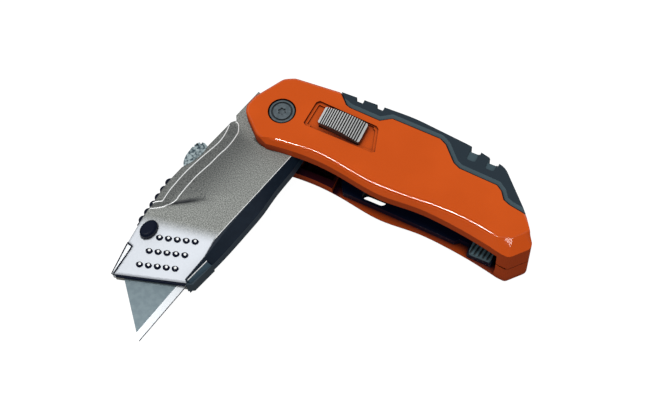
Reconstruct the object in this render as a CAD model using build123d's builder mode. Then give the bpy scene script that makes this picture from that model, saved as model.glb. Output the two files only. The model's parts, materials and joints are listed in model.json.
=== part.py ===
"""Folding utility knife with a sliding blade, a slide lock and a spare-blade tray.

Frame: origin on the pivot axis, in the plane of the far side, which lies flat on the bench.
+X runs along the handle to its butt, +Y to its spine and +Z up through its thickness.
The head lies folded by FOLD degrees at rest. Head parts are drawn as if the knife were open,
with the nose to -X, on planes that are turned by FOLD.
"""

import os
from math import atan2, cos, degrees, pi, radians, sin

from build123d import *

os.makedirs("parts", exist_ok=True)

# Driving dimensions
THICKNESS = 23.0  # handle, outer face to outer face
MID = THICKNESS / 2  # seam of the shells, and middle of the blade
FOLD = 75.0  # how far the head is folded from straight at rest
FOLD_FULL = 165.0  # how far it folds to close
HEAD_HALF = 5.6  # half of the head's thickness
SIDE_GAP = 0.3  # between head and shells
NEAR_IN = MID + HEAD_HALF + SIDE_GAP  # inner face of the near shell
SKIN = 2.2  # outer wall of a shell
SHOULDER = 2.0  # how far a shell's slope falls to its belly edge
CREST_ROUND = 1.0  # rounding where that slope starts
FRONT_ROUND = 0.8
SEAM_HALF = 0.2  # half of the groove where the shells meet
SEAM_DEEP = 0.35
OPEN = 60.0  # longer than any cut needs

# Rubber inlay
GRIP = 1.6  # round the spine
GRIP_DEEP = 2.0  # let into the face
GRIP_GAP = 0.5  # groove between the rubber and the painted face
GRIP_GAP_DEEP = 0.9
PAD_DEEP = 0.8  # pockets of the pads
PAD_THICK = 0.4
NOTCH_DEEP = 1.3

# Radii at the pivot
PIVOT_SHANK = 3.0
PIVOT_HEAD = 4.4
BUSHING = 4.5
WASHER = 5.6
HUB = 7.6  # the lock bolt rides on this
HUB_NOTCH = 5.9
GROOVE_OUT = 11.3
GROOVE_FLOOR = 14.0
FIT = 0.05  # radial clearance of a running fit

# Head
HEAD_TOP = MID + HEAD_HALF
BLADE_GAP = 0.6  # half of the channel between the covers
NOSE_DROP = 2.9  # how far the near face falls to the nose
NOSE_RUN = 17.0
CARRIER_TOP = 13.2

# Blade, a standard trapezoid
BLADE_THICK = 0.6
BLADE_LONG = 61.0
BLADE_WIDE = 19.0
BLADE_END = 14.2  # how far each end edge leans in
BLADE_TIP = (-84.4, -14.9)
BLADE_TILT = 3.3  # blade's edge against the head's axis
GROUND = 2.4  # width of the ground bevel
EDGE_HALF = 0.03
TRAVEL = 23.0


def at_level(z):
    """A plane of the handle, at height z."""
    return Plane.XY.offset(z)


def head_level(z):
    """A plane of the head, at height z."""
    a = radians(FOLD)
    return Plane(origin=(0, 0, z), x_dir=(cos(a), sin(a), 0), z_dir=(0, 0, 1))


def blade_level(z):
    """A plane whose origin is the blade's tip and whose X runs along its edge."""
    corner = head_level(z).from_local_coords(Vector(*BLADE_TIP))
    a = radians(FOLD + BLADE_TILT)
    return Plane(origin=corner, x_dir=(cos(a), sin(a), 0), z_dir=(0, 0, 1))


def save(piece, name):
    piece.part.label = name
    export_step(piece.part, f"parts/{name}.step")


def between(corners, x):
    """Height at x along the straight runs between corners."""
    for (x0, y0), (x1, y1) in zip(corners, corners[1:]):
        if x0 <= x <= x1:
            return y0 + (y1 - y0) * (x - x0) / (x1 - x0)
    return corners[-1][1]


def coil_spring(start, direction, radius, length, turns, wire):
    """A round-wire spring of the given length, from start along direction."""
    first = Vector(start) + Vector(direction) * (wire / 2)
    height = length - wire
    with BuildPart() as spring:
        with BuildLine() as path:
            Helix(height / turns, height, radius - wire / 2, center=first, direction=direction)
        with BuildSketch(Plane(origin=path.line @ 0, z_dir=path.line % 0)):
            Circle(wire / 2)
        sweep(path=path.line)
    return spring


# ---------------------------------------------------------------- handle outlines

FRONT = (-11.6, -2.6)
SPINE = [FRONT, (-10.6, 1.6), (-5.0, 11.2), (-1.6, 13.0), (14.0, 14.2), (40.0, 15.0)]
SPINE += [(60.0, 13.1), (73.0, 10.4), (84.7, -1.6), (90.9, -10.5), (85.4, -16.6), (82.6, -16.4)]
BELLY = [(82.6, -16.4), (72.0, -14.4), (62.0, -13.2), (53.0, -12.8), (41.0, -13.5)]
BELLY += [(28.0, -11.8), (17.0, -10.7), (8.0, -11.0), (0.0, -12.0)]
CHIN = [BELLY[-1], (-3.8, -11.0), (-10.6, -5.0), FRONT]
# crest where the painted face starts to slope down to the belly and the butt, and the slope's foot
CREST = [(80.0, -12.4), (70.4, -11.0), (62.0, -10.6), (53.0, -11.1), (41.0, -11.6)]
CREST += [(28.0, -10.5), (17.0, -9.0), (8.0, -9.7), (0.0, -10.6)]
CREST_END = (88.3, -6.4)
CREST_BUTT = [CREST_END, (86.2, -8.6), (84.2, -10.8), CREST[0]]
FOOT_BUTT = [CREST_END, (90.9, -10.5), (85.4, -16.6), BELLY[0]]
BELOW = [(-20.0, -16.0), (-20.0, -40.0), (110.0, -40.0), (110.0, -4.0)]

# below and in front of this line the head swings, so the spine wall lies outside it
WELL = [(-20, -30), (81.6, -30), (81.6, -5.2), (70.5, 6.3), (60.0, 8.8), (40.0, 10.8)]
WELL += [(16.0, 10.7), (3.6, 10.8), (3.6, 20.0), (-20, 20)]
BOSSES = [(42.0, 11.6), (76.5, 1.8)]
BOSS = 2.2
SCREW = 1.1
SCREW_HEAD = 2.0

# where the rubber meets the painted shell
GRIP_LINE = [(13.2, 16.0), (14.2, 13.9), (17.9, 10.4), (19.5, 9.9), (30.2, 9.5), (33.6, 11.8), (50.4, 11.4)]
GRIP_LINE += [(52.8, 10.2), (57.6, 5.3), (60.0, 4.2), (73.0, 3.6), (74.9, 2.3), (76.7, -0.2), (79.0, -1.1)]
GRIP_LINE += [(88.0, -2.6), (95.0, 20.0), (60.0, 24.0), (13.2, 24.0)]
NOTCHES = [(21.3, 2.6), (28.4, 2.4), (62.4, 3.4), (69.1, 3.3)]  # middle and width of each spine notch

# hollow for the lock under the near face, and for the tray over the far face
LOCK_POCKET = [(12.0, -6.0), (12.0, 8.6), (38.0, 8.6), (58.0, 6.8), (68.0, 4.2), (78.6, -6.6), (78.6, -11.4)]
LOCK_POCKET += [(65.0, -8.8), (53.0, -8.4), (41.0, -9.0), (28.0, -7.2), (17.0, -5.8)]
TRAY_POCKET = [(22.3, -24.0), (22.3, 3.0), (28.0, 9.3), (68.3, 9.3), (81.3, -8.6), (81.3, -24.0)]
TRAY_FLOOR = 2.4
FRONT_POCKET = [(8.9, -8.4), (21.3, -8.3), (21.3, 2.5), (14.0, 4.5), (8.9, 4.0)]  # lightens the far shell


def spine_height(x):
    """Height of the spine at x, along the outline's straight runs."""
    return between(SPINE[4:9], x)


ROUNDING = [(FRONT, 3.0), (SPINE[1], 4.0), (SPINE[2], 4.0), (SPINE[3], 4.0), (CHIN[1], 4.0), (CHIN[2], 3.0)]
ROUNDING += [(SPINE[5], 60.0), (SPINE[6], 30.0), (SPINE[7], 6.0)]
ROUNDING += [(SPINE[9], 2.5), (SPINE[10], 2.0)]

with BuildSketch() as shell_plan:
    with BuildLine():
        Polyline(*SPINE)
        Spline(*BELLY)
        Polyline(*CHIN)
    make_face()
    for corner, radius in ROUNDING:
        fillet(shell_plan.vertices().sort_by_distance((*corner, 0))[0], radius)


# ---------------------------------------------------------------- rubber inlay

with BuildSketch() as grip_plan:
    add(shell_plan.sketch)
    with BuildLine():
        Polyline(*GRIP_LINE, close=True)
    make_face(mode=Mode.INTERSECT)
    for x, width in NOTCHES:
        with Locations((x, spine_height(x) + 2.0 - NOTCH_DEEP)):
            Rectangle(width, 4.0, mode=Mode.SUBTRACT)

# the rubber's face, short of the painted shell, with the pockets of its pads
with BuildSketch() as grip_face:
    with BuildLine():
        Polyline(*GRIP_LINE, close=True)
    make_face()
    offset(amount=-GRIP_GAP, kind=Kind.INTERSECTION)
    add(grip_plan.sketch, mode=Mode.INTERSECT)

PADS = [((62.15, 8.2), (3.0, 6.0)), ((68.7, 7.6), (3.0, 6.0))]  # foot of each pad, and its width and length

with BuildSketch() as pad_plan:
    for (x, y), (width, length) in PADS:
        with Locations((x, y + length / 2)):
            RectangleRounded(width, length, 0.8)
    add(grip_plan.sketch, mode=Mode.INTERSECT)

with BuildSketch() as shell_core:
    add(shell_plan.sketch)
    offset(amount=-GRIP, kind=Kind.INTERSECTION)

with BuildSketch() as grip_band:
    add(grip_plan.sketch)
    add(shell_core.sketch, mode=Mode.SUBTRACT)

with BuildPart() as near_grip:
    with BuildSketch(at_level(THICKNESS - GRIP_GAP_DEEP)):
        add(grip_face.sketch)
    extrude(amount=GRIP_GAP_DEEP)
    grip_top = near_grip.faces().sort_by(Axis.Z)[-1]
    inner_edges = grip_top.edges().filter_by(lambda e: e.center().Y < spine_height(e.center().X) - 2.0)
    chamfer(inner_edges, 1.1, 0.6, reference=grip_top)
    with BuildSketch(at_level(THICKNESS - PAD_DEEP)):
        add(pad_plan.sketch)
    extrude(amount=PAD_DEEP, mode=Mode.SUBTRACT)
    with BuildSketch(at_level(THICKNESS - GRIP_DEEP)):
        add(grip_plan.sketch)
    extrude(amount=GRIP_DEEP - GRIP_GAP_DEEP)
    with BuildSketch(at_level(MID)):
        add(grip_band.sketch)
    extrude(amount=THICKNESS - GRIP_DEEP - MID)
save(near_grip, "near_grip")

with BuildPart() as far_grip:
    add(near_grip.part.mirror(at_level(MID)))
    # over the heads of the shell screws
    with BuildSketch():
        with Locations(*BOSSES):
            Circle(SCREW_HEAD)
    extrude(amount=GRIP_DEEP, mode=Mode.SUBTRACT)
save(far_grip, "far_grip")

with BuildPart() as grip_pads:
    with BuildSketch(at_level(THICKNESS - PAD_DEEP), at_level(PAD_DEEP - PAD_THICK)):
        add(pad_plan.sketch)
    extrude(amount=PAD_THICK)
save(grip_pads, "grip_pads")

# ---------------------------------------------------------------- shells

with BuildSketch() as seam_core:
    add(shell_plan.sketch)
    offset(amount=-SEAM_DEEP, kind=Kind.INTERSECTION)

with BuildPart() as shell_blank:
    with BuildSketch(at_level(NEAR_IN)):
        add(shell_plan.sketch)
    extrude(amount=THICKNESS - NEAR_IN)
    # slope from the crest down to the belly's edge
    for butt, outline, height in ((CREST_BUTT, CREST, THICKNESS), (FOOT_BUTT, BELLY, THICKNESS - SHOULDER)):
        with BuildSketch(at_level(height)):
            with BuildLine():
                Polyline(*butt)
                Spline(*outline)
                Polyline(outline[-1], *BELOW, butt[0])
            make_face()
    loft(ruled=True, mode=Mode.SUBTRACT)
    face_edges = shell_blank.faces().sort_by(Axis.Z)[-1].edges()
    fillet(face_edges.filter_by(lambda e: e.center().Y > -9 and e.center().X < 10), FRONT_ROUND)
    face_edges = shell_blank.faces().sort_by(Axis.Z)[-1].edges()
    at_butt = face_edges.filter_by(lambda e: 80 < e.center().X < 88 and e.center().Y < -7)
    fillet(face_edges.sort_by(SortBy.LENGTH)[-1:] + at_butt, CREST_ROUND)
    with BuildSketch(at_level(MID)):
        add(shell_plan.sketch)
        with BuildLine():
            Polyline(*WELL, close=True)
        make_face(mode=Mode.SUBTRACT)
        with Locations(*BOSSES):
            Circle(BOSS)
    extrude(amount=NEAR_IN - MID)
    # seat of the rubber
    with BuildSketch(at_level(THICKNESS - GRIP_DEEP)):
        add(grip_plan.sketch)
        for x, width in NOTCHES:
            with Locations((x, spine_height(x))):
                Rectangle(width, 2 * NOTCH_DEEP + 0.4)
    extrude(amount=GRIP_DEEP, mode=Mode.SUBTRACT)
    with BuildSketch(at_level(MID)):
        with BuildLine():
            Polyline(*GRIP_LINE, close=True)
        make_face()
        add(shell_core.sketch, mode=Mode.SUBTRACT)
    extrude(amount=THICKNESS - GRIP_DEEP - MID, mode=Mode.SUBTRACT)
    # pivot bore, bolt head and washer seat
    with Locations(at_level(THICKNESS)):
        CounterBoreHole(PIVOT_SHANK + FIT, PIVOT_HEAD + 0.2, 1.8)
    with BuildSketch(at_level(NEAR_IN)):
        Circle(WASHER + 0.1)
    extrude(amount=0.3, mode=Mode.SUBTRACT)
    # groove along the seam
    with BuildSketch(at_level(MID)):
        add(shell_plan.sketch)
        add(seam_core.sketch, mode=Mode.SUBTRACT)
    extrude(amount=SEAM_HALF, mode=Mode.SUBTRACT)
    # room for the blade's tip between the shells at the butt
    with BuildSketch(at_level(MID)):
        Circle(86.6)
        with BuildLine():
            Polyline((60, -3.0), (95, -3.0), (95, -40), (60, -40), close=True)
        make_face(mode=Mode.INTERSECT)
    extrude(amount=0.55, mode=Mode.SUBTRACT)

SLOT_RECESS = [(8.3, -1.0), (8.7, 7.4), (9.6, 8.4), (30.2, 7.4)]
SLOT_RECESS += [(31.2, 6.6), (33.6, -1.2), (32.6, -1.9), (9.2, -1.6)]
SLIDE_AT = (20.1, 3.05)
SLIDE_SIZE = (15.2, 7.7)
SLIDE_PLAN = [(12.5, 0.6), (12.5, 6.9), (27.7, 6.6), (27.7, -0.8)]
SLIDE_FORWARD = 1.6  # into the hub's notch
SLIDE_BACK = 1.4
POST = (10.0, 3.0)  # joins the slide to the bolt

with BuildPart() as near_shell:
    add(shell_blank.part)
    with BuildSketch(at_level(NEAR_IN)):
        with BuildLine():
            Polyline(*LOCK_POCKET, close=True)
        make_face()
        with Locations((46.5, 0)):
            Rectangle(2.0, 30.0, mode=Mode.SUBTRACT)
    extrude(amount=THICKNESS - SKIN - NEAR_IN, mode=Mode.SUBTRACT)
    # channel of the lock bolt, out to the hub
    with BuildSketch(at_level(NEAR_IN)):
        with Locations((10.0, 0)):
            Rectangle(8.4, 6.8)
    extrude(amount=THICKNESS - SKIN - NEAR_IN, mode=Mode.SUBTRACT)
    # two-step recess round the slide, and the slot that its post goes through
    with BuildSketch(at_level(THICKNESS - 0.8)):
        with BuildLine():
            Polyline(*SLOT_RECESS, close=True)
        make_face()
    extrude(amount=0.8, mode=Mode.SUBTRACT)
    with BuildSketch(at_level(THICKNESS - 1.3)):
        with BuildLine():
            Polyline(*SLOT_RECESS, close=True)
        make_face()
        offset(amount=-1.0, kind=Kind.INTERSECTION)
        with Locations((SLIDE_AT[0] + (SLIDE_BACK - SLIDE_FORWARD) / 2, SLIDE_AT[1])):
            Rectangle(SLIDE_SIZE[0] + SLIDE_FORWARD + SLIDE_BACK + 0.6, SLIDE_SIZE[1] + 0.6)
    extrude(amount=1.3, mode=Mode.SUBTRACT)
    with BuildSketch(at_level(NEAR_IN)):
        with Locations((SLIDE_AT[0] - 0.3, 2.0)):
            Rectangle(POST[0] + SLIDE_FORWARD + SLIDE_BACK + 0.8, POST[1] + 0.6)
    extrude(amount=SKIN + 4, mode=Mode.SUBTRACT)
    # blind holes for the screws from the far side
    with BuildSketch(at_level(MID)):
        with Locations(*BOSSES):
            Circle(SCREW)
    extrude(amount=6.0, mode=Mode.SUBTRACT)
save(near_shell, "near_shell")

TRAY_SLOT = ((36.3, -8.2), 8.8, 3.6)  # middle, length and width
TRAY_PIN = (28.5, -4.5)
PIN = 1.5

with BuildPart() as far_shell:
    add(shell_blank.part.mirror(at_level(MID)))
    with BuildSketch(at_level(TRAY_FLOOR)):
        for pocket in (TRAY_POCKET, FRONT_POCKET):
            with BuildLine():
                Polyline(*pocket, close=True)
            make_face()
    extrude(amount=MID - HEAD_HALF - SIDE_GAP - TRAY_FLOOR, mode=Mode.SUBTRACT)
    with BuildSketch(at_level(0)):
        with Locations(TRAY_SLOT[0]):
            SlotOverall(TRAY_SLOT[1], TRAY_SLOT[2])
    extrude(amount=TRAY_FLOOR, mode=Mode.SUBTRACT)
    with BuildSketch(at_level(0)):
        with Locations(*BOSSES):
            Circle(SCREW)
    extrude(amount=MID, mode=Mode.SUBTRACT)
    with BuildSketch(at_level(0)):
        with Locations(*BOSSES):
            Circle(SCREW_HEAD)
    extrude(amount=1.9, mode=Mode.SUBTRACT)
    with BuildSketch(at_level(1.0)):
        with Locations(TRAY_PIN):
            Circle(PIN)
    extrude(amount=TRAY_FLOOR - 1.0, mode=Mode.SUBTRACT)
save(far_shell, "far_shell")

# ---------------------------------------------------------------- pivot and screws

with BuildPart() as pivot_bolt:
    with BuildSketch(at_level(THICKNESS - 1.8)):
        Circle(PIVOT_HEAD)
    extrude(amount=1.6)
    chamfer(pivot_bolt.faces().sort_by(Axis.Z)[-1].edges(), 0.35)
    # shallow ring round a six-lobed socket
    with BuildSketch(at_level(THICKNESS - 0.55)):
        Circle(3.5)
        Circle(2.9, mode=Mode.SUBTRACT)
        Circle(1.05)
        with PolarLocations(1.0, 6):
            Circle(0.36)
    extrude(amount=1.0, mode=Mode.SUBTRACT)
    with BuildSketch(at_level(0.7)):
        Circle(PIVOT_SHANK)
    extrude(amount=THICKNESS - 1.8 - 0.7)
save(pivot_bolt, "pivot_bolt")

with BuildPart() as pivot_nut:
    with BuildSketch():
        Circle(PIVOT_HEAD)
    extrude(amount=1.8)
    with BuildSketch(at_level(0.7)):
        Circle(PIVOT_SHANK)
    extrude(amount=2.0, mode=Mode.SUBTRACT)
    with BuildSketch():
        with PolarLocations(2.6, 2):
            Circle(0.7)
    extrude(amount=0.5, mode=Mode.SUBTRACT)
save(pivot_nut, "pivot_nut")

with BuildPart() as pivot_washers:
    with BuildSketch(at_level(MID - HEAD_HALF - 0.6), at_level(MID + HEAD_HALF + 0.1)):
        Circle(WASHER)
        Circle(PIVOT_SHANK, mode=Mode.SUBTRACT)
    extrude(amount=0.5)
save(pivot_washers, "pivot_washers")

with BuildPart() as shell_screws:
    with BuildSketch(at_level(0.3)):
        with Locations(*BOSSES):
            Circle(SCREW_HEAD)
    extrude(amount=1.6)
    with BuildSketch(at_level(0.3)):
        with Locations(*BOSSES):
            RegularPolygon(0.9, 6)
    extrude(amount=0.8, mode=Mode.SUBTRACT)
    with BuildSketch(at_level(1.9)):
        with Locations(*BOSSES):
            Circle(SCREW)
    extrude(amount=MID + 5.5 - 1.9)
save(shell_screws, "shell_screws")

# ---------------------------------------------------------------- lock

BOLT_LOW = NEAR_IN + 0.2
BOLT_TOP = BOLT_LOW + 2.0
BOLT_FROM = HUB + 0.1
BOLT_TO = 34.0
SPRING_SEAT = 45.5

with BuildPart() as lock_bolt:
    with BuildSketch(at_level(BOLT_LOW)):
        with Locations(((BOLT_FROM + BOLT_TO) / 2, 0)):
            Rectangle(BOLT_TO - BOLT_FROM, 6.0)
        with Locations((19.9, 1.2)):
            Rectangle(12.0, 7.0)
    extrude(amount=BOLT_TOP - BOLT_LOW)
    with BuildSketch(at_level(GROOVE_FLOOR + 0.3)):
        with Locations((BOLT_FROM + 0.9, 0)):
            Rectangle(1.8, 3.4)
    extrude(amount=BOLT_LOW - GROOVE_FLOOR - 0.3)
save(lock_bolt, "lock_bolt")

with BuildPart() as lock_slide:
    # arched thumb piece: a disc's segment, ribbed across
    arch = 24.0
    crown = THICKNESS + 1.9
    with BuildSketch(Plane.XZ.offset(-SLIDE_AT[1])):
        with Locations((SLIDE_AT[0], crown - arch)):
            Circle(arch)
        with Locations((SLIDE_AT[0], THICKNESS + 0.7)):
            Rectangle(SLIDE_SIZE[0], 3.6, mode=Mode.INTERSECT)
    extrude(amount=SLIDE_SIZE[1] / 2, both=True)
    with BuildSketch(at_level(MID)):
        with BuildLine():
            Polyline(*SLIDE_PLAN, close=True)
        make_face()
        fillet(vertices(), 0.7)
    extrude(amount=THICKNESS, mode=Mode.INTERSECT)
    grooves = 17
    for i in range(grooves):
        along = (i - (grooves - 1) / 2) * 0.86
        lean = atan2(along, arch)
        up = Vector(sin(lean), 0, cos(lean))
        centre = Vector(SLIDE_AT[0], SLIDE_AT[1], crown - arch)
        spot = Plane(origin=centre + up * arch, x_dir=(0, 1, 0), z_dir=up)
        with BuildSketch(spot.offset(-0.5)):
            Rectangle(SLIDE_SIZE[1] + 1, 0.46)
        extrude(amount=1.0, mode=Mode.SUBTRACT)
    with BuildSketch(at_level(BOLT_TOP)):
        with Locations((SLIDE_AT[0] - 0.2, 2.0)):
            Rectangle(*POST)
    extrude(amount=THICKNESS - 1.1 - BOLT_TOP)
save(lock_slide, "lock_slide")

lock_spring = coil_spring((BOLT_TO, 0, BOLT_LOW + 1.3), (1, 0, 0), 1.35, SPRING_SEAT - BOLT_TO, 8, 0.4)
save(lock_spring, "lock_spring")

# ---------------------------------------------------------------- spare-blade tray

TRAY_LOW = TRAY_FLOOR + 0.25
TRAY_TOP = 5.4
TRAY = [(23.9, -7.4), (26.0, -10.7), (45.0, -11.1), (66.0, -11.7), (67.2, -10.5), (70.8, -10.5), (71.2, -13.9)]
TRAY += [(79.6, -14.2), (80.7, -8.9), (68.0, 8.8), (30.0, 8.8), (23.9, 1.8)]
TAB = (75.5, -11.9)

with BuildPart() as spare_tray:
    with BuildSketch(at_level(TRAY_LOW)):
        with BuildLine():
            Polyline(*TRAY, close=True)
        make_face()
        with Locations(TRAY_SLOT[0]):
            SlotOverall(TRAY_SLOT[1], TRAY_SLOT[2], mode=Mode.SUBTRACT)
        with Locations(TRAY_PIN):
            Circle(PIN + FIT, mode=Mode.SUBTRACT)
    extrude(amount=TRAY_TOP - TRAY_LOW)
    # open side towards the spine, for the blades
    with BuildSketch(at_level(TRAY_LOW + 0.6)):
        with BuildLine():
            Polyline((41.6, -9.9), (66.5, -9.9), (66.5, 12), (41.6, 12), close=True)
        make_face()
    extrude(amount=1.5, mode=Mode.SUBTRACT)
save(spare_tray, "spare_tray")

with BuildPart() as tray_tab:
    with BuildSketch(at_level(TRAY_TOP)):
        with Locations(TAB):
            RectangleRounded(7.6, 4.4, 0.8)
    extrude(amount=1.6)
    for i in range(5):
        with BuildSketch(at_level(TRAY_TOP + 1.1)):
            with Locations((TAB[0] - 2.9 + 1.45 * i, TAB[1])):
                Rectangle(0.7, 5.0, rotation=-8)
        extrude(amount=1.0, mode=Mode.SUBTRACT)
save(tray_tab, "tray_tab")

with BuildPart() as tray_pin:
    with BuildSketch(at_level(1.0)):
        with Locations(TRAY_PIN):
            Circle(PIN)
    extrude(amount=TRAY_TOP - 1.0)
save(tray_pin, "tray_pin")

# ---------------------------------------------------------------- head covers

COVER = [(2.9, 13.7), (-9.0, 13.5), (-22.0, 13.2)]
SCOOP = [(-22.0, 13.2), (-25.5, 12.6), (-29.5, 13.1), (-33.4, 14.4)]
COVER_NOSE = [(-33.4, 14.4), (-38.4, 14.3), (-43.2, 13.9), (-48.9, 12.5), (-56.9, 10.8), (-63.5, 9.5)]
COVER_NOSE += [(-63.5, 7.4), (-73.7, 6.1), (-61.4, -13.9), (-51.9, -13.3), (-45.3, -11.8)]
COVER_NOSE += [(-39.3, -11.6), (-9.1, -10.9)]
COVER_REAR = [(-9.1, -10.9), (-3.0, -10.5), (4.5, -9.2), (9.0, -3.0)]
COVER_REAR += [(9.0, 3.0), (6.0, 7.6), (2.9, 10.2), (2.9, 13.7)]
SPRING_AT = (-56.4, 7.7)
SPRING_FLOOR = 7.4
BEND_AT = (-49.35, -2.3)
BEND_TURN = degrees(atan2(-17.1, 8.06))


def cover_outline():
    """The plan outline of a head cover, in the head's own axes."""
    Polyline(*COVER)
    Spline(*SCOOP)
    Polyline(*COVER_NOSE)
    Polyline(*COVER_REAR)


# in the blade's axes, from its tip
CARRIER = (32.8, 58.0, 14.6, 19.0)
NECK = (54.0, 58.0, 18.0, 25.0)
SLIDER_SLOT = (-34.4, 1.4, 9.4)  # in the head's axes: front, rear and floor

THUMB_BLOCK = [(-37.2, 9.8), (-37.2, 14.4), (-38.6, 14.9), (-57.2, 11.7), (-57.2, 9.4), (-53.0, 9.4)]
THUMB_HALF = HEAD_HALF - 2.1
SLIDER_HALF = 3.7


def carrier_room():
    """The plan that the carrier and its neck sweep, with clearance, in the blade's axes."""
    for x0, x1, y0, y1 in (CARRIER, NECK):
        with Locations(((x0 + x1 + TRAVEL) / 2, (y0 + y1) / 2)):
            Rectangle(x1 - x0 + TRAVEL + 0.8, y1 - y0 + 0.8)


def slider_slot():
    """The plan of the thumb slider's slot, open to the spine, in the head's axes."""
    front, rear, floor = SLIDER_SLOT
    Polyline((front, floor), (front, 20), (rear, 20), (rear, floor), close=True)


# plane across the nose, with X out over the nose facet and Y down
facet_out = radians(BEND_TURN - 90 + FOLD)
facet_along = radians(BEND_TURN + FOLD)
facet = Plane(
    origin=head_level(HEAD_TOP).from_local_coords(Vector(*BEND_AT)),
    x_dir=(cos(facet_out), sin(facet_out), 0),
    z_dir=(cos(facet_along), sin(facet_along), 0),
)


def facet_cut(lower):
    """Profile of what lies over the nose facet, from lower than its face by the given amount."""
    Polyline((0, lower), (OPEN, lower + OPEN * NOSE_DROP / NOSE_RUN), (OPEN, -9), (0, -9), close=True)


with BuildPart() as cover_blank:
    with BuildSketch(head_level(MID + BLADE_GAP)):
        with BuildLine():
            cover_outline()
        make_face()
    extrude(amount=HEAD_HALF - BLADE_GAP)
    with BuildSketch(facet):
        with BuildLine():
            facet_cut(0)
        make_face()
    extrude(amount=OPEN, both=True, mode=Mode.SUBTRACT)
    # room for the carrier and for the thumb slider
    with BuildSketch(blade_level(MID + BLADE_GAP)):
        carrier_room()
    extrude(amount=CARRIER_TOP + 0.3 - MID - BLADE_GAP, mode=Mode.SUBTRACT)
    with BuildSketch(head_level(MID + BLADE_GAP)):
        with BuildLine():
            slider_slot()
        make_face()
    extrude(amount=SLIDER_HALF + 0.4 - BLADE_GAP, mode=Mode.SUBTRACT)
    # seat of the thumb rest
    with BuildSketch(head_level(MID + BLADE_GAP)):
        with BuildLine():
            Polyline(*THUMB_BLOCK, close=True)
        make_face()
    extrude(amount=THUMB_HALF - BLADE_GAP, mode=Mode.SUBTRACT)
    # pivot bushing
    with BuildSketch(head_level(MID)):
        Circle(BUSHING)
    extrude(amount=OPEN, mode=Mode.SUBTRACT)

with BuildPart() as far_cover:
    add(cover_blank.part.mirror(at_level(MID)))
    with BuildSketch(head_level(SPRING_FLOOR)):
        with Locations(SPRING_AT):
            Circle(1.5)
    extrude(amount=OPEN, mode=Mode.SUBTRACT)
save(far_cover, "far_cover")

BUTTON_AT = (-56.4, 6.6)
BUTTON_SIZE = (6.6, 4.7)
BUTTON_TRAVEL = 1.4
UPPER_RIDGE = [(-46.3, 10.6), (-41.8, 11.5), (-34.8, 12.0), (-25.8, 11.6), (-19.9, 11.1), (-17.1, 11.3)]
UPPER_RIDGE += [(-12.4, 12.8)]
LOWER_RIDGE = [(-50.5, 11.1), (-47.6, 8.7), (-43.5, 7.4), (-32.5, 8.0), (-22.8, 7.6), (-16.3, 7.5)]
LOWER_RIDGE += [(-12.6, 8.5), (-10.5, 10.7)]
RIDGE = 0.35

# studs on the nose facet: rows run along the nose's edge
STUD_ROWS = [(-55.9, 2.5), (-61.1, 2.2), (-66.2, 1.7)]
STUD_STEP = (1.52, -2.45)


def facet_height(x, y):
    """Height of the nose facet over a point of the head's plane."""
    turn = radians(BEND_TURN - 90)
    run = (x - BEND_AT[0]) * cos(turn) + (y - BEND_AT[1]) * sin(turn)
    return HEAD_TOP - NOSE_DROP / NOSE_RUN * max(run, 0.0)


with BuildPart() as near_cover:
    add(cover_blank.part)
    for row_x, row_y in STUD_ROWS:
        for i in range(5):
            x = row_x + i * STUD_STEP[0]
            y = row_y + i * STUD_STEP[1]
            with BuildSketch(head_level(facet_height(x, y) - 0.3)):
                with Locations((x, y)):
                    Circle(1.1)
            extrude(amount=1.0, taper=32)
    # raised ridges that frame the strip along the spine
    with BuildSketch(head_level(HEAD_TOP)):
        for ridge in (UPPER_RIDGE, LOWER_RIDGE):
            with BuildLine() as crest:
                Spline(*ridge)
            trace(crest.line, line_width=0.6)
    extrude(amount=RIDGE)
    # groove that the lock bolt's tooth rides in, and the notches that it locks into
    with BuildSketch(head_level(GROOVE_FLOOR)):
        Circle(GROOVE_OUT)
        with Locations((0, 2.4 - OPEN / 2)):
            Rectangle(OPEN, OPEN, mode=Mode.INTERSECT)
        Circle(HUB, mode=Mode.SUBTRACT)
    extrude(amount=OPEN, mode=Mode.SUBTRACT)
    with BuildSketch(head_level(GROOVE_FLOOR)):
        for folded in (0.0, FOLD, FOLD_FULL):
            with Locations(Location((0, 0), -folded)):
                with Locations(((HUB_NOTCH + HUB + 0.5) / 2, 0)):
                    Rectangle(HUB + 0.5 - HUB_NOTCH, 3.9)
    extrude(amount=OPEN, mode=Mode.SUBTRACT)
    # well of the release button
    with BuildSketch(head_level(MID)):
        with Locations(BUTTON_AT):
            Ellipse(BUTTON_SIZE[0] / 2 + FIT, BUTTON_SIZE[1] / 2 + FIT)
    extrude(amount=OPEN, mode=Mode.SUBTRACT)
save(near_cover, "near_cover")

# ---------------------------------------------------------------- head body

COVER_BELLY = [(-61.4, -13.9), (-51.9, -13.3), (-45.3, -11.8), (-39.3, -11.6), (-9.1, -10.9), (-3.0, -10.5)]
BAR = [(-60.4, -15.1), (-52.0, -15.8), (-34.0, -15.4), (-27.0, -14.9), (-20.5, -13.9), (-11.0, -13.1)]
BAR += [(-4.0, -11.9)]
WALL_HALF = 2.0  # half of the bar's upright belly wall
WEB_LIP = [(-6.0, -12.0), (-4.0, -11.9), (-0.9, -11.0), (4.5, -9.2), (2.0, -8.8), (-6.0, -11.0)]
WEB_FRONT = [(-4.0, 13.6), (-5.2, 7.0), (-5.6, 0), (-3.2, -5.2), (0.6, -8.6)]


def bar_outline(out):
    """The belly bar's plan outline, with its belly side drawn in to out of its full width."""
    belly = [(x, between(COVER_BELLY, x) * (1 - out) + y * out) for x, y in BAR]
    Spline(*belly)
    Polyline(belly[-1], *reversed(COVER_BELLY), belly[0])


SHOE_HALF = 2.6

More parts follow.
